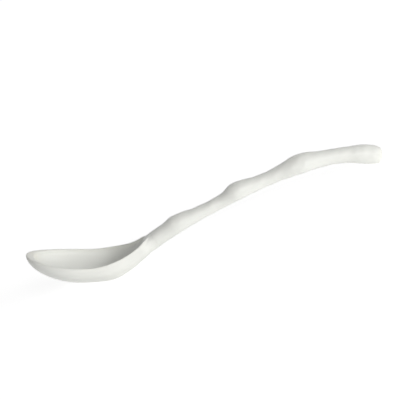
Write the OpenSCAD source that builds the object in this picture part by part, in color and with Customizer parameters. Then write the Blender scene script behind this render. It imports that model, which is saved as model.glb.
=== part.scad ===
// Porcelain spoon with an oval bowl and a hand-rolled twig handle.
// It is drawn with the rim level and the handle along +X, then turned so that it
// lies as it does on a table: on its heel and on the end of its handle.

/* [Bowl] */
// Width of the bowl over its rim
bowl_w = 33.2; // [31:0.1:37]
// Length from the widest place of the rim to the tip
tip_len = 27.7; // [25:0.1:32]
// Depth from the rim to the underside of the keel
bowl_depth = 10; // [8.5:0.1:12]
// Height of the tip above the widest place of the rim
tip_lift = 2.9; // [0:0.1:4]
// Thickness of the wall at the keel
wall_t = 2.4; // [1.8:0.1:3]
// Half the width of the rounded lip along the sides, and its height
lip_r = 0.7; // [0.5:0.05:1]
// Half the width of the lip at the tip, where it is broadest
tip_lip_r = 2; // [1:0.1:2.6]
// Height of the band under the rim's sides in which the outside rolls in to the lip
roll_h = 2; // [0.5:0.1:3]

/* [Neck] */
// Length from the widest place to the joint with the handle
neck_len = 36.3; // [33:0.1:40]
// Height of the joint's middle above the widest place of the rim
neck_rise = 11; // [9.5:0.1:13]
// Slope of the neck at the joint, in degrees
neck_angle = 37.6; // [33:0.1:42]
// Radius to which the back of the handle bends as it leaves the joint
neck_bend_r = 35.5; // [30:0.5:60]
// Half width to which the hollow would narrow at the joint
neck_half_w = 7; // [6:0.1:8]
// Height of the rim above the neck's middle line at the joint
neck_rim_h = 3.1; // [2.2:0.1:3.4]
// Depth of the underside below the neck's middle line at the joint
neck_keel_h = 3.8; // [3:0.1:4.5]
// How far the middle line swells upwards, half way to the joint
line_swell = 2.3; // [1.5:0.1:3]
// How far each side of the bowl swells outwards, half way to the joint
side_swell = 2.3; // [1:0.1:3.2]
// How far the rim sinks below its way up to the neck, half way to the joint
rim_sag = 1.4; // [0.5:0.1:1.8]
// How far the keel swells downwards, half way to the joint
keel_swell = 3.6; // [2.6:0.1:4.2]
// How much further than the keel the floor of the hollow swells there
floor_sag = 1.4; // [0.6:0.1:1.9]
// Length over which the hollow closes into a solid oval before the joint
neck_close_len = 7; // [6:0.1:10]

/* [Handle] */
// Length from the joint to the crest, where the handle starts to level off
crest_len = 70.2; // [62:0.1:79]
// Height of the crest above the joint
crest_rise = 36.7; // [33:0.1:40]
// Slope of the handle at the crest, in degrees
crest_angle = 20.5; // [17:0.1:24]
// Length from the crest to the cut end
end_len = 38.9; // [33:0.1:45]
// Height of the cut end above the crest
end_rise = 5.8; // [4:0.1:8]
// Slope of the handle at its cut end, in degrees
end_angle = -1.8; // [-6:0.1:4]
// Length from the joint to the waist, where the stem is slimmest
waist_len = 28.2; // [22:0.1:35]
// Radius of the stem at the joint
root_r = 4.2; // [3.8:0.05:4.6]
// Radius of the stem at the waist
waist_r = 3.25; // [2.8:0.05:3.8]
// Radius of the stem at the end, before its flare
end_r = 3.9; // [3.4:0.05:4.4]

/* [Knots and end] */
// Height of the tallest knot above the stem
knot_h = 2.5; // [1.6:0.1:3.2]
// Length of the longest knot's slope that faces the bowl
knot_front_len = 8.8; // [7:0.1:11]
// Length of a knot's slope that faces the end
knot_back_len = 8.2; // [7:0.1:11]
// Height of the flare round the end
flare_h = 0.85; // [0.4:0.05:1.5]
// Length over which the end flares
flare_len = 13.2; // [9:0.1:17]
// Length of the rounding on top of the end
top_round_len = 6.7; // [5:0.1:8.5]
// Drop of the rounding on top of the end
top_round_h = 2.4; // [1.5:0.1:3]
// Length of the rounding under the end
under_round_len = 3.8; // [2.5:0.1:4.8]
// Height of the rounding under the end
under_round_h = 1.2; // [0.8:0.1:1.8]

/* [Joint and feet] */
// Thickness of the slip that bonds the handle to the neck
slip_t = 0.4; // [0.3:0.05:0.6]
// Depth ground off the heel and the end, where the spoon rests
foot_cut = 0.2; // [0.15:0.05:0.3]

/* [Hidden] */

// Points of half a section: up the outside, over the lip, down the inside
outer_count = 12;
lip_count = 4;
inner_count = 10;
half_count = outer_count + lip_count + inner_count;
ring_count = 2 * half_count - 2;
// Steps round the front of the bowl, along its neck, along the handle and its end
front_steps = 24;
neck_steps = 24;
handle_steps = 60;
end_steps = 8;

// Where each knot sits along the handle, and how its size compares with the largest
knot_place_shares = [0.1, 0.365, 0.644];
knot_height_shares = [0.51, 0.93, 1];
knot_front_shares = [0.45, 0.57, 1];
// How much of a knot's height also shows on either side of the handle
knot_side_share = 0.6;
// Height of the fill above the rim where the hollow ends
fill_h = 0.3;
// Parts of the half turn that the hollow's outside and its lip take up on the oval
outside_turn = 138;
lip_turn = 152;

joint_x = neck_len;
waist_x = joint_x + waist_len;
crest_x = joint_x + crest_len;
end_x = crest_x + end_len;
handle_len = end_x - joint_x;
half_w = bowl_w / 2;
floor_depth = bowl_depth - wall_t;

// Angles round the quarter outside, the lip and the quarter inside
outer_angles = [for (i = [0:outer_count - 1]) 90 * i / (outer_count - 1)];
lip_angles = [for (i = [1:lip_count]) 180 * i / (lip_count + 1)];
inner_angles = [for (i = [0:inner_count - 1]) 90 - 90 * i / (inner_count - 1)];

// Angles of the same points round the closed oval: at the joint, and past the waist
joint_turns = concat(
    [for (a = outer_angles) mix(0, outside_turn, a / 90)],
    [for (a = lip_angles) mix(outside_turn, lip_turn, a / 180)],
    [for (a = inner_angles) mix(180, lip_turn, a / 90)]
);
even_turns = [for (i = [0:half_count - 1]) 180 * i / (half_count - 1)];

// Middle line of the spoon as places of [distance, height, slope, bend].
// It leaves the widest place with the bend of the rim's front.
stations = [
    [0, 0, 0, 2 * tip_lift / pow(tip_len, 2)],
    [joint_x, neck_rise, tan(neck_angle), -1 / neck_bend_r],
    [crest_x, neck_rise + crest_rise, tan(crest_angle), 0],
    [end_x, neck_rise + crest_rise + end_rise, tan(end_angle), 0],
];

function mix(a, b, t) = a + (b - a) * t;

// Share of the way from 0 to 1, with no slope and no bend at either end
function ease(t) = let (c = min(max(t, 0), 1)) c * c * c * (10 - 15 * c + 6 * c * c);

// A swell that is 1 half way along and leaves the ends and their bends alone
function swell(t) = pow(4 * t * (1 - t), 3);

// Height and slope of the curve between two stations that keeps their slopes and bends
function link(x, a, b) =
    let (run = b.x - a.x, t = (x - a.x) / run, u = 1 - t)
    [
        mix(a.y, b.y, ease(t))
            + run * (a.z * t * pow(u, 3) * (1 + 3 * t) - b.z * pow(t, 3) * u * (4 - 3 * t))
            + run * run * (a[3] * t * t * pow(u, 3) + b[3] * pow(t, 3) * u * u) / 2,
        30 * t * t * u * u * (b.y - a.y) / run
            + a.z * u * u * (1 + 2 * t - 15 * t * t) + b.z * t * t * (28 * t - 12 - 15 * t * t)
            + run * (a[3] * t * u * u * (2 - 5 * t) + b[3] * t * t * u * (3 - 5 * t)) / 2,
    ];

// Height and slope of the middle line, raised by its swell ahead of the joint
function line_at(x) =
    x >= crest_x ? link(x, stations[2], stations[3])
    : x >= joint_x ? link(x, stations[1], stations[2])
    : let (t = x / joint_x)
      link(x, stations[0], stations[1])
          + line_swell * [swell(t), 12 * pow(4 * t * (1 - t), 2) * (1 - 2 * t) / joint_x];

// A size of the bowl's section that runs from a to b between the widest place and the
// joint. It starts with the bend that the front ends with, given as how far that bend
// would carry it over the front's length.
function along_neck(x, a, b, front_drop, middle_swell) =
    let (t = x / joint_x)
    mix(a, b, ease(t))
        - front_drop * pow(joint_x / tip_len, 2) * t * t * pow(1 - t, 3) / 2
        + middle_swell * swell(t);

// Height over the rim of the lip at this angle: its outer half starts lower, by the roll
function lip_up(a, roll) = (a < 90 ? lip_r + roll : lip_r) * sin(a) - (a < 90 ? roll : 0);

// Half a section of the hollow bowl as places of [side, up] about the middle line
function hollow_half(x) =
    let (
        side = along_neck(x, half_w, neck_half_w, half_w, side_swell),
        rim = along_neck(x, 0, neck_rim_h, 0, -rim_sag),
        keel = along_neck(x, bowl_depth, neck_keel_h, bowl_depth, keel_swell),
        floor_swell = keel_swell + floor_sag,
        floor_up = along_neck(x, -floor_depth, neck_rim_h + fill_h, -floor_depth, -floor_swell)
    )
    concat(
        [for (a = outer_angles) [side * sin(a), rim - roll_h - (rim - roll_h + keel) * cos(a)]],
        [for (a = lip_angles) [side - lip_r + lip_r * cos(a), rim + lip_up(a, roll_h)]],
        [for (a = inner_angles) [(side - 2 * lip_r) * sin(a), rim - (rim - floor_up) * cos(a)]]
    );

// Height of one knot above the stem: steep towards the bowl, long towards the end
function knot(x, i) =
    let (
        past_top = x - joint_x - handle_len * knot_place_shares[i],
        front = knot_front_len * knot_front_shares[i],
        reach = mix(front, knot_back_len, ease((past_top + front) / (2 * front)))
    )
    knot_h * knot_height_shares[i] * exp(-pow(past_top / reach, 2));

function knots(x) = knot(x, 0) + knot(x, 1) + knot(x, 2);

function stem_r(x) =
    x < waist_x
        ? mix(root_r, waist_r, ease((x - joint_x) / waist_len))
        : mix(waist_r, end_r, ease((x - waist_x) / (end_x - waist_x)));

function flare(x) = flare_h * ease((x - end_x + top_round_len + flare_len) / flare_len);

// How far a rounding of this length and height has drawn in at x
function drawn_in(x, length, height) =
    let (t = max(x - end_x + length, 0) / length)
    height * (1 - sqrt(max(1 - t * t, 0)));

function turns(x) = mix(joint_turns, even_turns, ease((x - joint_x) / waist_len));

// Half a section of the handle in the same order: under side, flank, top
function oval_half(x) =
    let (
        radius = stem_r(x) + flare(x),
        top = radius + knots(x) - drawn_in(x, top_round_len, top_round_h),
        under = radius - drawn_in(x, under_round_len, under_round_h),
        side_round_len = (top_round_len + under_round_len) / 2,
        side_round_h = (top_round_h + under_round_h) / 2,
        side = radius + knots(x) * knot_side_share - drawn_in(x, side_round_len, side_round_h)
    )
    [for (a = turns(x)) [side * sin(a), -cos(a) * (a > 90 ? top : under)]];

function half_section(x) =
    x >= joint_x
        ? oval_half(x)
        : mix(hollow_half(x), oval_half(x), ease((x - joint_x + neck_close_len) / neck_close_len));

// A whole section in space, square to the middle line
function ring(x) =
    let (
        line = line_at(x),
        slant = norm([1, line[1]]),
        half = [for (p = half_section(x)) [x - p.y * line[1] / slant, p.x, line[0] + p.y / slant]]
    )
    concat(half, [for (i = [half_count - 2:-1:1]) [half[i].x, -half[i].y, half[i].z]]);

// One line of the bowl's front from the keel over the lip to the floor of the hollow,
// turned about the upright through the widest place. The roll fades out towards the tip
function front_line(turn) =
    let (
        roll = roll_h * pow(sin(turn), 2),
        skin = [
            for (a = outer_angles)
            [tip_len * sin(a), half_w * sin(a), -roll - (bowl_depth - roll) * cos(a)]
        ],
        lip = [
            for (a = lip_angles)
            let (draw = cos(a) - 1)
            [tip_len + tip_lip_r * draw, half_w + lip_r * draw, lip_up(a, roll)]
        ],
        hollow = [
            for (a = inner_angles)
            [(tip_len - 2 * tip_lip_r) * sin(a), (half_w - 2 * lip_r) * sin(a), -floor_depth * cos(a)]
        ]
    )
    [
        for (p = concat(skin, lip, hollow))
        let (ahead = p.x * cos(turn))
        [-ahead, p.y * sin(turn), p.z + tip_lift * pow(ahead / tip_len, 2)]
    ];

// Places of the sections, and the sections themselves
slip_x = joint_x + slip_t * cos(neck_angle);
round_x = end_x - top_round_len;
neck_rings = [for (i = [1:neck_steps]) ring(joint_x * i / neck_steps)];
stem_rings = [for (i = [0:handle_steps - 1]) ring(mix(slip_x, round_x, i / handle_steps))];
end_rings = [for (i = [0:end_steps]) ring(mix(round_x, end_x, sin(90 * i / end_steps)))];
front_lines = [for (i = [0:front_steps]) front_line(-90 + 180 * i / front_steps)];

// The slope of the line that touches both the keel and the under side of the end
rest_slope = max([
    for (section = neck_rings)
    min([for (end = end_rings) (end[0].z - section[0].z) / (end[0].x - section[0].x)])
]);
rest_angle = atan(rest_slope);
function laid(p) = [
    p.x * cos(rest_angle) + p.z * sin(rest_angle),
    p.y,
    p.z * cos(rest_angle) - p.x * sin(rest_angle),
];
ground_z = min([for (section = neck_rings) laid(section[0]).z]) + foot_cut;
tip_x = min([for (line = front_lines) for (p = line) laid(p).x]);
butt_x = max([for (section = end_rings) for (p = section) laid(p).x]);
function placed(p) = laid(p) - [(tip_x + butt_x) / 2, 0, ground_z];

// Two triangles of a patch, or one where two of its corners are the same point
function patch(a, b, c, d) = [
    if (a != b) [a, b, c],
    if (c != d) [a, c, d],
];

// A solid through a list of whole sections, closed by its first and last
module loft(rings) {
    last = (len(rings) - 1) * ring_count;
    walls = [
        for (s = [0:len(rings) - 2])
        for (k = [0:ring_count - 1])
        let (a = s * ring_count + k, d = s * ring_count + (k + 1) % ring_count)
        each patch(a, a + ring_count, d + ring_count, d)
    ];
    polyhedron(
        points = [for (section = rings) for (p = section) placed(p)],
        faces = concat(
            walls,
            [[for (k = [0:ring_count - 1]) k]],
            [[for (k = [ring_count - 1:-1:0]) last + k]]
        ),
        convexity = 4
    );
}

// What lies below the table's surface, ground off where the spoon rests on it
module below_table() {
    translate([-end_x, -half_w, -bowl_depth])
    cube([2 * end_x, bowl_w, bowl_depth]);
}

// The bowl's front lines share their first and last point, the keel and the floor below
// the widest place. Its sections follow, the first made of the two outermost lines.
module bowl_shell() {
    line_count = half_count - 2;
    first_ring = 2 + len(front_lines) * line_count;
    function on_line(i, j) = j == 0 ? 0 : j == half_count - 1 ? 1 : 1 + i * line_count + j;
    function on_ring(s, k) =
        s > 0 ? first_ring + (s - 1) * ring_count + k % ring_count
        : k % ring_count < half_count ? on_line(front_steps, k % ring_count)
        : on_line(0, ring_count - k);
    polyhedron(
        points = concat(
            [placed(front_lines[0][0]), placed(front_lines[0][half_count - 1])],
            [for (line = front_lines) for (j = [1:half_count - 2]) placed(line[j])],
            [for (section = neck_rings) for (p = section) placed(p)]
        ),
        faces = concat(
            [
                for (i = [0:front_steps - 1])
                for (j = [0:half_count - 2])
                each patch(on_line(i, j), on_line(i + 1, j), on_line(i + 1, j + 1), on_line(i, j + 1))
            ],
            [
                for (s = [0:neck_steps - 1])
                for (k = [0:ring_count - 1])
                each patch(on_ring(s, k), on_ring(s + 1, k), on_ring(s + 1, k + 1), on_ring(s, k + 1))
            ],
            [[for (k = [ring_count - 1:-1:0]) on_ring(neck_steps, k)]]
        ),
        convexity = 6
    );
}

module bowl() {
    color([0.92, 0.92, 0.89])
    difference() {
        bowl_shell();
        below_table();
    }
}

// Clay slip between the scored faces, wiped flush before the glaze
module luting_slip() {
    color([0.88, 0.88, 0.85])
    loft([ring(joint_x), ring(slip_x)]);
}

module handle() {
    color([0.93, 0.93, 0.9])
    difference() {
        loft(concat(stem_rings, end_rings));
        below_table();
    }
}

bowl();
luting_slip();
handle();
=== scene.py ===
"""A porcelain spoon with an oval bowl and a hand-rolled, knotted twig handle.

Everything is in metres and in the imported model's frame: the spoon lies on the table at
z = 0 on its heel and on its cut end, with +X towards the end of the handle. Its surfaces
are worked out in a frame of their own, the rim frame, where x runs from the widest place
of the bowl towards the cut end, y to the side and z up from the rim. Then they are laid
down as the spoon lies on the table.
"""

import logging
import math
from dataclasses import dataclass, field
from enum import Enum

import bpy
import numpy as np
from mathutils import Matrix, Vector


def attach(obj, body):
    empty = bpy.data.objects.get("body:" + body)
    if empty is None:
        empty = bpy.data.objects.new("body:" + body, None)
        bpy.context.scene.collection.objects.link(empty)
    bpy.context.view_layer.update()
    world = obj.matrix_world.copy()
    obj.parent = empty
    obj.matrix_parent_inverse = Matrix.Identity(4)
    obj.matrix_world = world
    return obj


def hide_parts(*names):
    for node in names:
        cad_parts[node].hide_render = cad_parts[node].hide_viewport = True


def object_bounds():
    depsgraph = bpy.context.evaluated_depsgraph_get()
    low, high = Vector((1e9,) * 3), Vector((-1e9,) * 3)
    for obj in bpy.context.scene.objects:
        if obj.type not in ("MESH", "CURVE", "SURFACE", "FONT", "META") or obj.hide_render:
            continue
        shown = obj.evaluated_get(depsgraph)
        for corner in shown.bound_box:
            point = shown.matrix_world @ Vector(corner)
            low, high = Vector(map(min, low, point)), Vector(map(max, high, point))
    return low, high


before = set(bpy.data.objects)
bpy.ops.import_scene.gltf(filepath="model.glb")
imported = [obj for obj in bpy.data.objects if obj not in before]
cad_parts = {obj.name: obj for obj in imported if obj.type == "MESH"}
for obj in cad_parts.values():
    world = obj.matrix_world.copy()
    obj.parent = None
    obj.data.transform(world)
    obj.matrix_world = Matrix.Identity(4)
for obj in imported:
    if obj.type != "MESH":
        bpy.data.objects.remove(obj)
CAD_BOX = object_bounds()

logging.basicConfig(level=logging.INFO, format="%(message)s")
LOG = logging.getLogger("spoon")

MM = 0.001
THIN_GLAZE = "thin_glaze"
SLIP_WHITE = (0.829, 0.834, 0.79)
NOISE_DETAIL = 3.0
Array = np.ndarray
Colour = tuple[float, float, float]

# A Mix node has sockets of one name for each type, so its colours go by number.
MIX_FIRST, MIX_SECOND, MIX_RESULT = 6, 7, 2


class Node(Enum):
    """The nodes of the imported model."""

    BOWL = "bowl"
    SLIP = "luting_slip"
    HANDLE = "handle"


class Slot(Enum):
    """The record's material slots."""

    PORCELAIN = "porcelain"
    SLIP = "slip"


def mix(a: Array | float, b: Array | float, t: Array | float) -> Array | float:
    """What lies the share t of the way from a to b."""
    return a + (b - a) * t


def ease(t: Array) -> Array:
    """Share of the way from 0 to 1, 10t^3 - 15t^4 + 6t^5: no slope or bend at either end."""
    c = np.clip(t, 0.0, 1.0)
    return c**3 * (10 - 15 * c + 6 * c * c)


def swell(t: Array) -> Array:
    """(4t(1 - t))^3, which is 1 half way along and leaves the ends and their bends alone."""
    return (4 * t * (1 - t)) ** 3


def bell(d: Array, reach: float) -> Array:
    """e^-(d/reach)^2, which is 1 at no distance and fades past the reach."""
    return np.exp(-((d / reach) ** 2))


def mirrored(half: Array) -> Array:
    """Rows of half a section, carried on round its other side to make whole ones."""
    return np.concatenate([half, half[:, -2:0:-1]], 1)


@dataclass(frozen=True)
class Counts:
    """How finely half a section is stepped.

    Its points run up the outside, over the lip and down the inside of the hollow.
    """

    outer: int
    lip: int
    inner: int

    @property
    def half(self) -> int:
        """Number of points in half a section."""
        return self.outer + self.lip + self.inner

    @property
    def skin_angles(self) -> Array:
        """Angles of the quarter outside, from the keel up to the rim."""
        return np.linspace(0, np.pi / 2, self.outer)

    @property
    def lip_angles(self) -> Array:
        """Angles of the half turn over the lip."""
        return np.linspace(0, np.pi, self.lip + 2)[1:-1]

    @property
    def hollow_angles(self) -> Array:
        """Angles of the quarter inside, from the rim down to the floor."""
        return np.linspace(np.pi / 2, 0, self.inner)


SOURCE_COUNTS = Counts(outer=12, lip=4, inner=10)
FINE_COUNTS = Counts(outer=40, lip=10, inner=30)


@dataclass(frozen=True)
class MiddleLine:
    """The curve that the sections are threaded on, from the widest place to the cut end."""

    tip_len: float = 27.7 * MM
    tip_lift: float = 2.9 * MM
    neck_len: float = 36.3 * MM
    neck_rise: float = 11.0 * MM
    neck_angle: float = 37.6
    neck_bend_r: float = 35.5 * MM
    line_swell: float = 2.3 * MM
    crest_len: float = 70.2 * MM
    crest_rise: float = 36.7 * MM
    crest_angle: float = 20.5
    end_len: float = 38.9 * MM
    end_rise: float = 5.8 * MM
    end_angle: float = -1.8

    @property
    def end_x(self) -> float:
        """Distance of the cut end from the widest place."""
        return self.neck_len + self.crest_len + self.end_len

    def at(self, x: Array) -> tuple[Array, Array]:
        """Height and slope of the line.

        Between two stations it is the fifth-degree curve that meets both of them with
        their heights, slopes and bends. Ahead of the joint a swell lifts it.

        Args:
            x: distances from the widest place.

        Returns:
            The heights and the slopes at these distances.
        """
        place = np.cumsum([0, self.neck_len, self.crest_len, self.end_len])
        height = np.cumsum([0, self.neck_rise, self.crest_rise, self.end_rise])
        slope = np.tan(np.radians([0, self.neck_angle, self.crest_angle, self.end_angle]))
        bend = np.array([2 * self.tip_lift / self.tip_len**2, -1 / self.neck_bend_r, 0, 0])
        i = np.clip(np.searchsorted(place, x) - 1, 0, len(place) - 2)
        run, climb = place[i + 1] - place[i], height[i + 1] - height[i]
        m, n, p, q = slope[i], slope[i + 1], bend[i], bend[i + 1]
        t = (x - place[i]) / run
        u = 1 - t
        z = (
            height[i] + climb * ease(t)
            + run * (m * t * u**3 * (1 + 3 * t) - n * t**3 * u * (4 - 3 * t))
            + run**2 * (p * t**2 * u**3 + q * t**3 * u**2) / 2
        )
        s = (
            30 * t**2 * u**2 * climb / run
            + m * u**2 * (1 + 2 * t - 15 * t**2) + n * t**2 * (28 * t - 12 - 15 * t**2)
            + run * (p * t * u**2 * (2 - 5 * t) + q * t**2 * u * (3 - 5 * t)) / 2
        )
        c = np.clip(x / self.neck_len, 0, 1)
        lifted = 12 * (4 * c * (1 - c)) ** 2 * (1 - 2 * c) / self.neck_len
        return z + self.line_swell * swell(c), s + self.line_swell * lifted


@dataclass(frozen=True)
class Unevenness:
    """Waves that a hand leaves in the clay: how deep, their numbers and their leans.

    A wave's number is its turn in radians for each metre along x, y and z. Its leans are
    where it starts, one for each coordinate that it moves.
    """

    depth: float
    waves: tuple[tuple[float, float, float], ...]
    leans: tuple[tuple[float, float, float], ...]

    def at(self, points: Array) -> Array:
        """How far the points move: the depth times the mean of the waves' sines.

        Each sine is weighed by the first wave's number over its own, so that short waves
        are shallower.

        Args:
            points: places, with their coordinates along the last axis.

        Returns:
            The moves, in the shape of the points.
        """
        waves, leans = np.array(self.waves), np.array(self.leans)
        number = np.linalg.norm(waves, axis=1)
        sines = np.sin((points @ waves.T)[..., None] + leans)
        return self.depth * (sines * (number[0] / number)[:, None]).mean(-2)


def dress(
    piece: bpy.types.Object, finish: bpy.types.Material, node: Node
) -> bpy.types.Object:
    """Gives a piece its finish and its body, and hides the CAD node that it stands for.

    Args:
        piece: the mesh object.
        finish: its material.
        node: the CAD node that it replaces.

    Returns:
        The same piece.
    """
    piece.data.materials.append(finish)
    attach(piece, "root")
    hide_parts(node.value)
    return piece


@dataclass(frozen=True)
class Knot:
    """One knot of the twig.

    Its place is a share of the handle's length, its height a share of the largest knot's
    and the length of its front a share of the longest front.
    """

    place: float
    height: float
    front: float


@dataclass(frozen=True)
class Handle:
    """The rolled twig: an oval stem with three knots that flares at its cut end."""

    line: MiddleLine
    slip_t: float = 0.4 * MM
    waist_len: float = 28.2 * MM
    root_r: float = 4.2 * MM
    waist_r: float = 3.25 * MM
    end_r: float = 3.9 * MM
    knot_h: float = 2.5 * MM
    knot_front_len: float = 8.8 * MM
    knot_back_len: float = 8.2 * MM
    knot_side_share: float = 0.8
    knots: tuple[Knot, ...] = (
        Knot(place=0.1, height=0.51, front=0.45),
        Knot(place=0.365, height=0.93, front=0.57),
        Knot(place=0.644, height=1.0, front=1.0),
    )
    flare_h: float = 0.85 * MM
    flare_len: float = 13.2 * MM
    top_round_len: float = 6.7 * MM
    top_round_h: float = 2.4 * MM
    under_round_len: float = 3.8 * MM
    under_round_h: float = 1.2 * MM
    marks: Unevenness = Unevenness(
        0.22 * MM,
        waves=(
            (620, -380, 450), (-880, 940, 300), (1240, 510, -790),
            (-1500, -860, 1130), (700, 1620, -1300), (1730, -1210, 640),
        ),
        leans=(
            (0.3, 2.0, 4.1), (1.1, 3.4, 0.2), (5.0, 0.6, 2.7),
            (2.2, 5.1, 1.5), (3.9, 0.9, 5.6), (0.7, 4.4, 3.0),
        ),
    )
    marks_fade: float = 14.0 * MM
    thin_on_knots: float = 0.35
    thin_on_end: float = 0.5
    skin_turn: float = 138.0
    lip_turn: float = 152.0
    stem_rings: int = 300
    end_rings: int = 28

    @property
    def slip_x(self) -> float:
        """Distance at which the handle starts, past the slip."""
        return self.line.neck_len + self.slip_t * math.cos(math.radians(self.line.neck_angle))

    def knot_heights(self, x: Array) -> Array:
        """Height of the knots above the stem: bells, steeper in front of their tops.

        Args:
            x: distances from the widest place.

        Returns:
            The sum of the knots' heights.
        """
        total = np.zeros_like(x)
        length = self.line.end_x - self.line.neck_len
        for knot in self.knots:
            past_top = x - self.line.neck_len - length * knot.place
            front = self.knot_front_len * knot.front
            reach = mix(front, self.knot_back_len, ease((past_top + front) / (2 * front)))
            total += self.knot_h * knot.height * bell(past_top, reach)
        return total

    def drawn_in(self, x: Array, length: float, height: float) -> Array:
        """How far a rounding has drawn in: height (1 - sqrt(1 - t^2)), a quarter ellipse.

        Args:
            x: distances from the widest place.
            length: length of the rounding, up to the cut end.
            height: how far it has drawn in at the end.

        Returns:
            The distances drawn in.
        """
        t = np.clip(x - self.line.end_x + length, 0, None) / length
        return height * (1 - np.sqrt(np.clip(1 - t * t, 0, None)))

    def turns(self, x: Array, counts: Counts) -> Array:
        """Angle of each point round the oval, in radians.

        At the joint the points lie where the bowl's skin, lip and floor send them. They
        are spread evenly by the time they reach the waist.

        Args:
            x: distances from the widest place.
            counts: steps of half a section.

        Returns:
            One row of angles for each distance.
        """
        quarter = np.pi / 2
        joint = np.concatenate([
            mix(0, self.skin_turn, counts.skin_angles / quarter),
            mix(self.skin_turn, self.lip_turn, counts.lip_angles / np.pi),
            mix(180, self.lip_turn, counts.hollow_angles / quarter),
        ])
        even = np.linspace(0, 180, counts.half)
        share = ease((x - self.line.neck_len) / self.waist_len)[:, None]
        return np.radians(mix(joint, even, share))

    def half_section(self, x: Array, counts: Counts) -> Array:
        """Half an oval: side sin(a) across and -cos(a) times its top or under height up.

        Args:
            x: distances from the widest place.
            counts: steps of half a section.

        Returns:
            Places of [side, up] about the middle line, one row for each distance.
        """
        joint_x, end_x = self.line.neck_len, self.line.end_x
        waist_x = joint_x + self.waist_len
        radius = np.where(
            x < waist_x,
            mix(self.root_r, self.waist_r, ease((x - joint_x) / self.waist_len)),
            mix(self.waist_r, self.end_r, ease((x - waist_x) / (end_x - waist_x))),
        )
        flare_x = end_x - self.top_round_len - self.flare_len
        radius = radius + self.flare_h * ease((x - flare_x) / self.flare_len)
        knots = self.knot_heights(x)
        side_len = (self.top_round_len + self.under_round_len) / 2
        side_h = (self.top_round_h + self.under_round_h) / 2
        top = radius + knots - self.drawn_in(x, self.top_round_len, self.top_round_h)
        under = radius - self.drawn_in(x, self.under_round_len, self.under_round_h)
        side = radius + knots * self.knot_side_share - self.drawn_in(x, side_len, side_h)
        a = self.turns(x, counts)
        up = -np.cos(a) * np.where(a > np.pi / 2, top[:, None], under[:, None])
        return np.stack([side[:, None] * np.sin(a), up], -1)

    def rings(self, x: Array, counts: Counts) -> Array:
        """Whole sections of the handle in the rim frame, one for each distance."""
        return thread(self.line, x, self.half_section(x, counts))

    def rolled(self, points: Array) -> Array:
        """Moves points of the rim frame by the marks of rolling, which ease in from the joint."""
        share = ease((points[..., :1] - self.line.neck_len) / self.marks_fade)
        return points + share * self.marks.at(points)

    def thin_share(self, x: Array, counts: Counts) -> Array:
        """Where the glaze runs thin: over the knots, by their height, and at the cut end.

        On a knot it is the height over the largest one's, times the squared cosine of the
        turn from its top. At the end it eases in over the length of the under rounding.

        Args:
            x: distances from the widest place.
            counts: steps of half a section.

        Returns:
            Shares from 0 to 1, one row of a whole section for each distance.
        """
        top = np.clip(-np.cos(self.turns(x, counts)), 0, 1) ** 2
        knots = self.thin_on_knots * self.knot_heights(x)[:, None] / self.knot_h * top
        end = ease((x - self.line.end_x + self.under_round_len) / self.under_round_len)
        return mirrored(np.maximum(knots, self.thin_on_end * end[:, None]))

    def build(self, rest: "Resting", finish: bpy.types.Material) -> bpy.types.Object:
        """Makes and dresses the handle, one closed piece from the slip to the cut end.

        Args:
            rest: lays the piece down.
            finish: its material.

        Returns:
            The finished piece.
        """
        round_x = self.line.end_x - self.top_round_len
        stem = np.linspace(self.slip_x, round_x, self.stem_rings)
        share = np.sin(np.linspace(0, np.pi / 2, self.end_rings + 1)[1:])
        x = np.concatenate([stem, mix(round_x, self.line.end_x, share)])
        rings, thin = self.rings(x, FINE_COUNTS), self.thin_share(x, FINE_COUNTS)
        piece = loft("twig_handle", rest.placed(rings), thin, caps_sharp=(True, False))
        return dress(piece, finish, Node.HANDLE)


@dataclass(frozen=True)
class LutingSlip:
    """The film of slip that bonds the handle to the neck, wiped flush."""

    handle: Handle

    def build(self, rest: "Resting", finish: bpy.types.Material) -> bpy.types.Object:
        """Makes and dresses the film between the joint and the start of the handle.

        Args:
            rest: lays the piece down.
            finish: its material.

        Returns:
            The finished piece.
        """
        x = np.array([self.handle.line.neck_len, self.handle.slip_x])
        rings, thin = self.handle.rings(x, FINE_COUNTS), self.handle.thin_share(x, FINE_COUNTS)
        piece = loft("slip_film", rest.placed(rings), thin, caps_sharp=(True, True))
        return dress(piece, finish, Node.SLIP)


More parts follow.
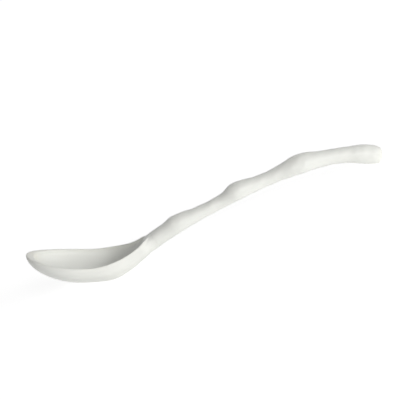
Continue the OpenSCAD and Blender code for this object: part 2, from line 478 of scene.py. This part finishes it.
@dataclass(frozen=True)
class Bowl:
    """The hollow bowl with its neck, which closes into the handle's oval at the joint."""

    line: MiddleLine
    handle: Handle
    half_w: float = 16.6 * MM
    depth: float = 10.0 * MM
    wall_t: float = 2.4 * MM
    lip_r: float = 0.7 * MM
    tip_lip_r: float = 2.0 * MM
    roll_h: float = 2.0 * MM
    neck_half_w: float = 7.0 * MM
    neck_rim_h: float = 2.8 * MM
    neck_keel_h: float = 3.8 * MM
    side_swell: float = 2.3 * MM
    rim_sag: float = 1.4 * MM
    keel_swell: float = 3.6 * MM
    floor_sag: float = 1.4 * MM
    close_len: float = 7.0 * MM
    fill_h: float = 0.3 * MM
    thin_reach: float = 1.5 * MM
    thin_on_lip: float = 0.5
    tip_thin_reach: float = 7.0 * MM
    front_lines: int = 72
    neck_rings: int = 110

    def front(self, turns: Array, counts: Counts) -> Array:
        """Lines of the bowl's front, from the keel over the lip to the hollow's floor.

        Each line is a quarter ellipse outside, a half ellipse over the lip, broadest at
        the tip, and a quarter ellipse inside, turned about the upright through the widest
        place, and lifted by the square of its share of the way to the tip. The roll under
        the rim is its height times the squared sine of the turn.

        Args:
            turns: the lines' angles in radians, 0 towards the tip.
            counts: steps of a line.

        Returns:
            Points in the rim frame, one row for each line.
        """
        a, b, c = counts.skin_angles, counts.lip_angles, counts.hollow_angles
        tip, lip, tip_lip, draw = self.line.tip_len, self.lip_r, self.tip_lip_r, np.cos(b) - 1
        reach = np.concatenate([
            tip * np.sin(a), tip + tip_lip * draw, (tip - 2 * tip_lip) * np.sin(c)
        ])
        side = np.concatenate([
            self.half_w * np.sin(a), self.half_w + lip * draw, (self.half_w - 2 * lip) * np.sin(c)
        ])
        roll = self.roll_h * np.sin(turns)[:, None] ** 2
        up = np.concatenate([
            -roll - (self.depth - roll) * np.cos(a),
            self.lip_up(b, roll),
            np.tile(-(self.depth - self.wall_t) * np.cos(c), (len(turns), 1)),
        ], 1)
        ahead = reach * np.cos(turns)[:, None]
        height = up + self.line.tip_lift * (ahead / tip) ** 2
        return np.stack([-ahead, side * np.sin(turns)[:, None], height], -1)

    def lip_up(self, angles: Array, roll: Array | float) -> Array:
        """Height of the lip over the rim: its outer half starts lower, by the roll.

        Args:
            angles: angles over the lip, from the outside in.
            roll: how far below the rim the outside starts to roll in.

        Returns:
            lip_r sin(a) inside, and (lip_r + roll) sin(a) - roll outside.
        """
        below = np.where(angles < np.pi / 2, roll, 0)
        return (self.lip_r + below) * np.sin(angles) - below

    def along(self, x: Array, start: float, end: float, drop: float, rise: float) -> Array:
        """A size of the section between the widest place and the joint.

        It eases from start to end, less a term t^2 (1 - t)^3 that gives it the bend of
        the front where it starts, plus a swell half way.

        Args:
            x: distances from the widest place.
            start: the size at the widest place.
            end: the size at the joint.
            drop: how far the front's bend would carry it over the front's length.
            rise: height of the swell.

        Returns:
            A column of the sizes.
        """
        t = np.clip(x / self.line.neck_len, 0, 1)
        bend = drop * (self.line.neck_len / self.line.tip_len) ** 2
        size = mix(start, end, ease(t)) - bend * t**2 * (1 - t) ** 3 / 2 + rise * swell(t)
        return size[:, None]

    def half_section(self, x: Array, counts: Counts) -> Array:
        """Half a section: two quarter ellipses and the lip, closing into the oval.

        Args:
            x: distances from the widest place, up to the joint.
            counts: steps of half a section.

        Returns:
            Places of [side, up] about the middle line, one row for each distance.
        """
        a, b, c = counts.skin_angles, counts.lip_angles, counts.hollow_angles
        lip, floor_depth = self.lip_r, self.depth - self.wall_t
        side = self.along(x, self.half_w, self.neck_half_w, self.half_w, self.side_swell)
        rim = self.along(x, 0, self.neck_rim_h, 0, -self.rim_sag)
        keel = self.along(x, self.depth, self.neck_keel_h, self.depth, self.keel_swell)
        floor = self.along(
            x, -floor_depth, self.neck_rim_h + self.fill_h, -floor_depth,
            -self.keel_swell - self.floor_sag,
        )
        across = np.concatenate([
            side * np.sin(a), side - lip + lip * np.cos(b), (side - 2 * lip) * np.sin(c)
        ], 1)
        up = np.concatenate([
            rim - self.roll_h - (rim - self.roll_h + keel) * np.cos(a),
            rim + self.lip_up(b, self.roll_h),
            rim - (rim - floor) * np.cos(c)
        ], 1)
        hollow = np.stack([across, up], -1)
        share = ease((x - self.line.neck_len + self.close_len) / self.close_len)
        return mix(hollow, self.handle.half_section(x, counts), share[:, None, None])

    def rings(self, x: Array, counts: Counts) -> Array:
        """Whole sections of the neck in the rim frame, one for each distance."""
        return thread(self.line, x, self.half_section(x, counts))

    def thin_share(self, rows: Array, crests: list[int]) -> Array:
        """Where the glaze runs thin: along the crest of the lip and about the tip.

        Both fade as bells of the distance, from the nearest crest of the point's own row
        and from the tip. The larger of them counts.

        Args:
            rows: lines or sections in the rim frame, as [rows, points, 3].
            crests: places of the lip's crests in a row.

        Returns:
            Shares from 0 to 1, one for each point.
        """
        off = np.linalg.norm(rows[:, :, None] - rows[:, None, crests], axis=-1).min(-1)
        tip = np.array([-self.line.tip_len + self.tip_lip_r, 0, self.line.tip_lift])
        far = np.linalg.norm(rows - tip, axis=-1)
        lip = self.thin_on_lip * bell(off, self.thin_reach)
        return np.maximum(lip, bell(far, self.tip_thin_reach))

    def build(self, rest: "Resting", finish: bpy.types.Material) -> bpy.types.Object:
        """Makes and dresses the bowl, whose front lines share their ends with its neck.

        The vertices are the two poles of the front, where all its lines meet, then the
        lines and then the rings of the neck.

        Args:
            rest: lays the piece down.
            finish: its material.

        Returns:
            The finished piece.
        """
        counts = FINE_COUNTS
        turns = np.linspace(-np.pi / 2, np.pi / 2, self.front_lines + 1)
        lines = self.front(turns, counts)
        x = np.linspace(0, self.line.neck_len, self.neck_rings + 1)[1:]
        rings = self.rings(x, counts)
        crest = counts.outer + counts.lip // 2
        front_thin = self.thin_share(lines, [crest])
        left_open = 1 - ease((x - self.line.neck_len) / self.close_len / 2 + 1)
        neck_thin = self.thin_share(rings, [crest, 2 * counts.half - 2 - crest])
        neck_thin *= left_open[:, None]
        poles = lines[0, [0, -1]]
        inner = counts.half - len(poles)
        line_ids = len(poles) + np.arange(len(turns) * inner).reshape(len(turns), inner)
        pole = np.zeros((len(turns), 1), int)
        line_ids = np.hstack([pole, line_ids, pole + 1])
        first = line_ids.max() + 1
        ring_ids = first + np.arange(rings.shape[0] * rings.shape[1]).reshape(rings.shape[:2])
        seam = np.concatenate([line_ids[-1], line_ids[0, -2:0:-1]])
        ring_ids = np.vstack([seam, ring_ids])
        points = np.concatenate([poles, lines[:, 1:-1].reshape(-1, 3), rings.reshape(-1, 3)])
        thin = np.concatenate([[0, 0], front_thin[:, 1:-1].ravel(), neck_thin.ravel()])
        faces = grid_faces(line_ids) + grid_faces(np.hstack([ring_ids, ring_ids[:, :1]]))
        faces.append(ring_ids[-1].tolist())
        piece = new_piece("hollow_bowl", rest.placed(points), faces, ring_ids[-1], thin)
        return dress(piece, finish, Node.BOWL)


def thread(line: MiddleLine, x: Array, half: Array) -> Array:
    """Threads half sections on the middle line, square to it, and mirrors them.

    Args:
        line: the middle line.
        x: distance of each section.
        half: places of [side, up], one row for each distance.

    Returns:
        Whole sections in the rim frame, as [sections, points, 3].
    """
    z, slope = line.at(x)
    slant = np.hypot(1, slope)
    up = half[..., 1]
    near = np.stack([
        x[:, None] - up * (slope / slant)[:, None], half[..., 0], z[:, None] + up / slant[:, None]
    ], -1)
    whole = mirrored(near)
    whole[:, near.shape[1]:, 1] *= -1
    return whole


def grid_faces(ids: Array) -> list[list[int]]:
    """Faces between the rows of a grid of vertex numbers, with triangles at its poles.

    Args:
        ids: vertex numbers, rows along the first axis.

    Returns:
        The faces, turned outwards.
    """
    a, b, c, d = ids[:-1, :-1], ids[1:, :-1], ids[1:, 1:], ids[:-1, 1:]
    quads = np.stack([a, d, c, b], -1).reshape(-1, 4)
    start, end = quads[:, 0] == quads[:, 3], quads[:, 1] == quads[:, 2]
    return (
        quads[~start & ~end].tolist()
        + quads[start][:, [0, 1, 2]].tolist()
        + quads[end][:, [0, 1, 3]].tolist()
    )


def new_piece(
    name: str, points: Array, faces: list[list[int]], sharp: Array, thin: Array
) -> bpy.types.Object:
    """Puts points and faces into a smooth-shaded mesh object.

    Args:
        name: the object's name.
        points: vertex places in metres.
        faces: vertex numbers of each face, turned outwards.
        sharp: vertices of the hidden caps, whose edges keep their crease.
        thin: how thin the glaze runs at each vertex, from 0 to 1.

    Returns:
        The new object, linked to the scene.
    """
    mesh = bpy.data.meshes.new(name)
    mesh.from_pydata(points, [], faces)
    mesh.validate()
    mesh.polygons.foreach_set("use_smooth", np.ones(len(mesh.polygons), bool))
    ends = np.empty(2 * len(mesh.edges), int)
    mesh.edges.foreach_get("vertices", ends)
    mesh.edges.foreach_set("use_edge_sharp", np.isin(ends.reshape(-1, 2), sharp).all(1))
    mesh.attributes.new(THIN_GLAZE, "FLOAT", "POINT").data.foreach_set("value", thin)
    mesh.update()
    piece = bpy.data.objects.new(name, mesh)
    bpy.context.scene.collection.objects.link(piece)
    return piece


def loft(
    name: str, rings: Array, thin: Array, caps_sharp: tuple[bool, bool]
) -> bpy.types.Object:
    """A closed piece through whole sections, with its two ends capped.

    Args:
        name: the object's name.
        rings: the sections as [sections, points, 3].
        thin: how thin the glaze runs at each of their points.
        caps_sharp: whether the edge of the first and of the last cap is a crease.

    Returns:
        The new object.
    """
    ids = np.arange(rings.shape[0] * rings.shape[1]).reshape(rings.shape[:2])
    faces = grid_faces(np.hstack([ids, ids[:, :1]]))
    faces += [ids[0, ::-1].tolist(), ids[-1].tolist()]
    sharp = np.concatenate([ids[row] for row, crease in zip((0, -1), caps_sharp) if crease])
    return new_piece(name, rings.reshape(-1, 3), faces, sharp, thin.ravel())


@dataclass
class Resting:
    """Lays the spoon down on its heel and its cut end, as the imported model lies.

    The source's steps find how it lies, and the fine ones how large it comes out.
    """

    bowl: Bowl
    handle: Handle
    foot_cut: float = 0.2 * MM
    source_neck_steps: int = 24
    source_front_steps: int = 24
    source_end_steps: int = 8
    fine_turn: float = 1.6
    fine_lines: int = 97
    fine_rings: int = 600
    waver: Unevenness = Unevenness(
        0.05 * MM,
        waves=((310, 90, 170), (-210, 260, 330), (120, -380, 240)),
        leans=((0.4, 1.3, 2.6), (3.2, 2.1, 2.6), (5.7, 4.8, 3.2)),
    )
    angle: float = field(init=False)
    shift: Array = field(init=False)
    trim: Array = field(init=False)

    def __post_init__(self) -> None:
        """Finds the line under heel and end, then the shift and the trim to the CAD's box.

        The sections are stepped as in the source, so that both frames agree. Fine ones
        are then placed without a trim, and their size gives it.
        """
        line, counts = self.bowl.line, SOURCE_COUNTS
        steps = np.arange(1, self.source_neck_steps + 1) / self.source_neck_steps
        keel = self.bowl.rings(line.neck_len * steps, counts)[:, 0]
        share = np.sin(np.linspace(0, np.pi / 2, self.source_end_steps + 1))
        ends = self.handle.rings(line.end_x - self.handle.top_round_len * (1 - share), counts)
        under = ends[:, 0]
        slopes = (under[:, 2] - keel[:, None, 2]) / (under[:, 0] - keel[:, None, 0])
        self.angle = math.atan(slopes.min(1).max())
        turns = np.linspace(-np.pi / 2, np.pi / 2, self.source_front_steps + 1)
        tip = self.laid(self.bowl.front(turns, counts))[..., 0].min()
        butt = self.laid(ends)[..., 0].max()
        ground = self.laid(keel)[:, 2].min() + self.foot_cut
        self.shift = np.array([(tip + butt) / 2, 0, ground])
        self.trim = np.ones(3)
        fine_turns = np.linspace(-self.fine_turn, self.fine_turn, self.fine_lines)
        fine_x = np.linspace(line.neck_len, line.end_x, self.fine_rings)
        fine = np.concatenate([
            self.placed(self.bowl.front(fine_turns, FINE_COUNTS)).reshape(-1, 3),
            self.placed(self.handle.rings(fine_x, FINE_COUNTS)).reshape(-1, 3),
        ])
        far_x, far_y = np.abs(fine[:, :2]).max(0)
        size = np.array([2 * far_x, 2 * far_y, fine[:, 2].max()])
        room = np.array(CAD_BOX[1] - CAD_BOX[0])
        self.trim = np.minimum(room / size, 1)

    def laid(self, points: Array) -> Array:
        """Turns points about y, by the angle at which the spoon rests.

        Args:
            points: places in the rim frame, with their coordinates along the last axis.

        Returns:
            The turned places, not yet shifted.
        """
        c, s = math.cos(self.angle), math.sin(self.angle)
        x, y, z = np.moveaxis(points, -1, 0)
        return np.stack([x * c + z * s, y, z * c - x * s], -1)

    def placed(self, points: Array) -> Array:
        """Makes points uneven, lays them down, trims them and grinds the feet flat.

        Args:
            points: places in the rim frame, with their coordinates along the last axis.

        Returns:
            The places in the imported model's frame, none of them below the table.
        """
        uneven = self.handle.rolled(points + self.waver.at(points))
        put = (self.laid(uneven) - self.shift) * self.trim
        put[..., 2] = np.maximum(put[..., 2], 0)
        return put


@dataclass(frozen=True)
class Glaze:
    """Soft-white glaze over porcelain: satin, warmer where thin, bare where it is ground."""

    name: str
    colour: Colour = (0.835, 0.84, 0.796)
    pooled: Colour = (0.828, 0.835, 0.789)
    thin: Colour = (0.846, 0.834, 0.758)
    bare: Colour = (0.74, 0.71, 0.65)
    pool_edges: tuple[float, float] = (0.35, 0.65)
    thin_range: tuple[float, float] = (0.3, 1.0)
    wave_edges: tuple[float, float] = (0.3, 0.7)
    roughness: float = 0.35
    rough_spread: float = 0.02
    bare_roughness: float = 0.75
    coat: float = 0.15
    coat_roughness: float = 0.2
    pool_scale: float = 70.0
    wave_scale: float = 160.0
    peel_scale: float = 900.0
    wave_depth: float = 0.008 * MM
    peel_depth: float = 0.0006 * MM
    bare_height: float = 0.12 * MM

    def material(self) -> bpy.types.Material:
        """Builds the node material on object coordinates and the thin glaze's attribute.

        Returns:
            The material: colour and roughness from where the glaze pools, runs thin or is
            ground away, and a bump from waves of the hand and the glaze's fine peel.
        """
        made = bpy.data.materials.new(self.name)
        made.use_nodes = True
        tree = made.node_tree
        new, link = tree.nodes.new, tree.links.new
        shader = tree.nodes["Principled BSDF"]
        shader.inputs["Coat Weight"].default_value = self.coat
        shader.inputs["Coat Roughness"].default_value = self.coat_roughness
        where = new("ShaderNodeTexCoord").outputs["Object"]
        pool, wave, peel = (
            self.noise(tree, where, scale)
            for scale in (self.pool_scale, self.wave_scale, self.peel_scale)
        )
        thin, uneven = new("ShaderNodeAttribute"), new("ShaderNodeMath")
        thin.attribute_name = THIN_GLAZE
        uneven.operation = "MULTIPLY"
        link(thin.outputs["Fac"], uneven.inputs[0])
        link(self.ramp(tree, pool, self.pool_edges, self.thin_range), uneven.inputs[1])
        split = new("ShaderNodeSeparateXYZ")
        link(where, split.inputs[0])
        ground = (self.bare_height, self.bare_height / 2)
        bare = self.ramp(tree, split.outputs["Z"], ground, (0.0, 1.0))
        tone = self.blend(tree, pool, self.colour, self.pooled)
        tone = self.blend(tree, uneven.outputs[0], tone, self.thin)
        tone = self.blend(tree, bare, tone, self.bare)
        link(tone, shader.inputs["Base Color"])
        spread = (self.roughness - self.rough_spread, self.roughness + self.rough_spread)
        rough = new("ShaderNodeMix")
        link(bare, rough.inputs["Factor"])
        link(self.ramp(tree, wave, self.wave_edges, spread), rough.inputs["A"])
        rough.inputs["B"].default_value = self.bare_roughness
        link(rough.outputs["Result"], shader.inputs["Roughness"])
        waves = self.bump(tree, wave, self.wave_depth)
        link(self.bump(tree, peel, self.peel_depth, waves), shader.inputs["Normal"])
        return made

    @staticmethod
    def bump(
        tree: bpy.types.NodeTree, height: bpy.types.NodeSocket, depth: float,
        under: bpy.types.NodeSocket | None = None,
    ) -> bpy.types.NodeSocket:
        """Turns a height into a normal.

        Args:
            tree: the glaze's nodes.
            height: the height, from 0 to 1.
            depth: what a height of 1 stands for, in metres.
            under: the normal that this one lies on, if any.

        Returns:
            The normal's socket.
        """
        made = tree.nodes.new("ShaderNodeBump")
        made.inputs["Distance"].default_value = depth
        tree.links.new(height, made.inputs["Height"])
        if under:
            tree.links.new(under, made.inputs["Normal"])
        return made.outputs["Normal"]

    @staticmethod
    def noise(
        tree: bpy.types.NodeTree, where: bpy.types.NodeSocket, scale: float
    ) -> bpy.types.NodeSocket:
        """A noise from 0 to 1.

        Args:
            tree: the glaze's nodes.
            where: the coordinates, in metres.
            scale: how often it swells in a metre.

        Returns:
            The noise's socket.
        """
        made = tree.nodes.new("ShaderNodeTexNoise")
        made.inputs["Scale"].default_value = scale
        made.inputs["Detail"].default_value = NOISE_DETAIL
        tree.links.new(where, made.inputs["Vector"])
        return made.outputs["Fac"]

    @staticmethod
    def ramp(
        tree: bpy.types.NodeTree, value: bpy.types.NodeSocket,
        edges: tuple[float, float], ends: tuple[float, float],
    ) -> bpy.types.NodeSocket:
        """Maps a value smoothly from one range to another.

        Args:
            tree: the glaze's nodes.
            value: the value.
            edges: where it starts and ends to count.
            ends: what it gives at these edges and past them.

        Returns:
            The result's socket.
        """
        made = tree.nodes.new("ShaderNodeMapRange")
        made.interpolation_type = "SMOOTHSTEP"
        names = ("From Min", "From Max", "To Min", "To Max")
        for name, number in zip(names, (*edges, *ends)):
            made.inputs[name].default_value = number
        tree.links.new(value, made.inputs["Value"])
        return made.outputs["Result"]

    @staticmethod
    def blend(
        tree: bpy.types.NodeTree, share: bpy.types.NodeSocket,
        first: bpy.types.NodeSocket | Colour, second: Colour,
    ) -> bpy.types.NodeSocket:
        """Blends two colours.

        Args:
            tree: the glaze's nodes.
            share: how much of the second colour there is, from 0 to 1.
            first: a colour or a colour's socket.
            second: a colour.

        Returns:
            The blend's socket.
        """
        made = tree.nodes.new("ShaderNodeMix")
        made.data_type = "RGBA"
        tree.links.new(share, made.inputs["Factor"])
        if isinstance(first, tuple):
            made.inputs[MIX_FIRST].default_value = (*first, 1.0)
        else:
            tree.links.new(first, made.inputs[MIX_FIRST])
        made.inputs[MIX_SECOND].default_value = (*second, 1.0)
        return made.outputs[MIX_RESULT]


@dataclass(frozen=True)
class Lamp:
    """One soft oval lamp: its bearing in degrees about the origin, power in watts and size.

    Azimuth 0 is the photograph's side and 90 is past the cut end.
    """

    name: str
    azimuth: float
    elevation: float
    power: float
    width: float = 0.9
    height: float = 0.9
    distance: float = 1.2
    in_gloss: bool = True

    def build(self) -> None:
        """Adds the lamp, aimed at the origin and seen in the glaze's gloss or not."""
        light = bpy.data.lights.new(self.name, "AREA")
        light.shape = "ELLIPSE"
        light.size, light.size_y = self.width, self.height
        light.energy = self.power
        made = bpy.data.objects.new(self.name, light)
        a, e = math.radians(self.azimuth), math.radians(self.elevation)
        back = Vector((math.sin(a) * math.cos(e), -math.cos(a) * math.cos(e), math.sin(e)))
        made.matrix_world = back.to_track_quat("Z", "Y").to_matrix().to_4x4()
        made.location = back * self.distance
        made.visible_glossy = self.in_gloss
        bpy.context.scene.collection.objects.link(made)


@dataclass(frozen=True)
class Studio:
    """The table, the air round it and the lamps.

    The table gives light as if it glowed at table_light, less the shade's depth under the
    bowl. To the eye and in gloss its glow eases from near_glow to the white of far_glow.
    """

    lamps: tuple[Lamp, ...] = (
        Lamp("strip_low", azimuth=45, elevation=10.5, power=8.5, height=0.42, in_gloss=False),
        Lamp("strip_front", azimuth=0, elevation=11, power=1.5, height=0.45),
        Lamp("window", azimuth=18, elevation=25, power=1.1, width=0.3, height=0.3),
        Lamp("softbox_right", azimuth=100, elevation=30, power=1.4),
        Lamp("softbox_back", azimuth=180, elevation=45, power=0.9),
        Lamp("softbox_back_left", azimuth=225, elevation=40, power=0.7),
    )
    air: float = 0.1
    table_half: float = 12.0
    table_colour: float = 0.82
    table_light: float = 0.42
    shade_depth: float = 0.25
    shade_x: float = -45 * MM
    shade_reach: float = 50 * MM
    table_seen: float = 0.8
    near_glow: float = 0.75
    far_glow: float = 0.95
    glow_reach: float = 0.8

    def table(self) -> bpy.types.Object:
        """The pale table: a flat square whose shadow stays faint, as its glow is its own.

        Returns:
            The table's object, with its material.
        """
        h = self.table_half
        corners = np.array([[-h, -h, 0], [h, -h, 0], [h, h, 0], [-h, h, 0]])
        mesh = bpy.data.meshes.new("table")
        mesh.from_pydata(corners, [], [[0, 1, 2, 3]])
        made = bpy.data.objects.new("table", mesh)
        bpy.context.scene.collection.objects.link(made)
        cloth = bpy.data.materials.new("white_table")
        cloth.use_nodes = True
        tree = cloth.node_tree
        tree.nodes.clear()
        new, link = tree.nodes.new, tree.links.new
        under_bowl = self.table_light - self.shade_depth
        light = self.eased(tree, self.shade_x, self.shade_reach, under_bowl, self.table_light)
        glow = self.eased(tree, 0.0, self.glow_reach, self.near_glow, self.far_glow)
        lit = self.glowing(tree, self.table_colour, light)
        seen = self.glowing(tree, self.table_seen, glow)
        choice = new("ShaderNodeMixShader")
        link(self.looked_at(tree), choice.inputs[0])
        link(lit, choice.inputs[1])
        link(seen, choice.inputs[2])
        link(choice.outputs[0], new("ShaderNodeOutputMaterial").inputs["Surface"])
        mesh.materials.append(cloth)
        return made

    @staticmethod
    def eased(
        tree: bpy.types.NodeTree, centre_x: float, reach: float, inside: float, outside: float
    ) -> bpy.types.NodeSocket:
        """A level that eases from one at a place of the table to another past the reach.

        Args:
            tree: the table's nodes.
            centre_x: the place, along the spoon.
            reach: distance from it at which the outer level is met.
            inside: the level at the place.
            outside: the level from the reach on.

        Returns:
            The level's socket.
        """
        place, off = tree.nodes.new("ShaderNodeTexCoord"), tree.nodes.new("ShaderNodeVectorMath")
        off.operation = "DISTANCE"
        off.inputs[1].default_value = (centre_x, 0, 0)
        tree.links.new(place.outputs["Object"], off.inputs[0])
        level = tree.nodes.new("ShaderNodeMapRange")
        level.interpolation_type = "SMOOTHSTEP"
        level.inputs["From Max"].default_value = reach
        level.inputs["To Min"].default_value = inside
        level.inputs["To Max"].default_value = outside
        tree.links.new(off.outputs["Value"], level.inputs["Value"])
        return level.outputs["Result"]

    @staticmethod
    def glowing(
        tree: bpy.types.NodeTree, grey: float, glow: bpy.types.NodeSocket
    ) -> bpy.types.NodeSocket:
        """A matt grey surface that also glows, as paper on a light table does.

        Args:
            tree: the table's nodes.
            grey: share of light that the surface gives back.
            glow: strength of its own light.

        Returns:
            The shader's socket.
        """
        matt, light = tree.nodes.new("ShaderNodeBsdfDiffuse"), tree.nodes.new("ShaderNodeEmission")
        matt.inputs["Color"].default_value = (grey, grey, grey, 1.0)
        tree.links.new(glow, light.inputs["Strength"])
        both = tree.nodes.new("ShaderNodeAddShader")
        tree.links.new(matt.outputs[0], both.inputs[0])
        tree.links.new(light.outputs[0], both.inputs[1])
        return both.outputs[0]

    @staticmethod
    def looked_at(tree: bpy.types.NodeTree) -> bpy.types.NodeSocket:
        """1 for rays of the camera, of a reflection or of a transmission, else 0.

        Args:
            tree: the nodes of the table or of the air.

        Returns:
            The number's socket.
        """
        path = tree.nodes.new("ShaderNodeLightPath")
        total = path.outputs["Is Camera Ray"]
        for name in ("Is Glossy Ray", "Is Transmission Ray"):
            larger = tree.nodes.new("ShaderNodeMath")
            larger.operation = "MAXIMUM"
            tree.links.new(total, larger.inputs[0])
            tree.links.new(path.outputs[name], larger.inputs[1])
            total = larger.outputs[0]
        return total

    def world(self) -> None:
        """White where it is looked at, and a soft even light for the rest."""
        made = bpy.data.worlds.new("studio_air")
        bpy.context.scene.world = made
        made.use_nodes = True
        tree = made.node_tree
        back = tree.nodes["Background"]
        back.inputs["Color"].default_value = (1.0, 1.0, 1.0, 1.0)
        level = tree.nodes.new("ShaderNodeMapRange")
        level.inputs["To Min"].default_value = self.air
        level.inputs["To Max"].default_value = 1.0
        tree.links.new(self.looked_at(tree), level.inputs["Value"])
        tree.links.new(level.outputs[0], back.inputs["Strength"])

    def build(self) -> None:
        """Sets up the table, the air and the lamps."""
        self.table()
        self.world()
        for lamp in self.lamps:
            lamp.build()


@dataclass(frozen=True)
class View:
    """The photograph's camera, placed in the rim frame, in which it is level."""

    elevation: float = 15.5
    distance: float = 600 * MM
    aim_x: float = 58.03 * MM
    aim_z: float = 30.74 * MM
    lens: float = 111.0
    sensor: float = 36.0

    def build(self, rest: Resting) -> None:
        """Adds the camera, turned with the spoon from the rim frame to the table.

        Args:
            rest: turns and shifts it as the spoon is.
        """
        e = math.radians(self.elevation)
        right, up = np.array([1.0, 0, 0]), np.array([0, math.sin(e), math.cos(e)])
        back = np.array([0, -math.cos(e), math.sin(e)])
        eye = np.array([self.aim_x, 0, self.aim_z]) + back * self.distance
        data = bpy.data.cameras.new("photo_camera")
        data.lens, data.sensor_width = self.lens, self.sensor
        made = bpy.data.objects.new("photo_camera", data)
        pose = np.eye(4)
        pose[:3, :3] = np.stack([rest.laid(v) for v in (right, up, back)], 1)
        pose[:3, 3] = rest.laid(eye) - rest.shift
        made.matrix_world = Matrix(pose)
        bpy.context.scene.collection.objects.link(made)
        bpy.context.scene.camera = made


def report(piece: bpy.types.Object) -> None:
    """Logs a finished piece with its counts."""
    mesh = piece.data
    LOG.info("%s: %d vertices, %d faces", piece.name, len(mesh.vertices), len(mesh.polygons))


def main() -> None:
    """Builds the spoon, dresses it and sets up the studio and the camera."""
    line = MiddleLine()
    handle = Handle(line)
    bowl = Bowl(line, handle)
    rest = Resting(bowl, handle)
    LOG.info("rests at %.3f degrees, shift %s", math.degrees(rest.angle), rest.shift)
    porcelain = Glaze("porcelain_glaze").material()
    slip = Glaze("slip_glaze", colour=SLIP_WHITE).material()
    report(bowl.build(rest, porcelain))
    report(LutingSlip(handle).build(rest, slip))
    report(handle.build(rest, porcelain))
    Studio().build()
    View().build(rest)
    bpy.context.scene.view_settings.view_transform = "Standard"


if __name__ == "__main__":
    main()
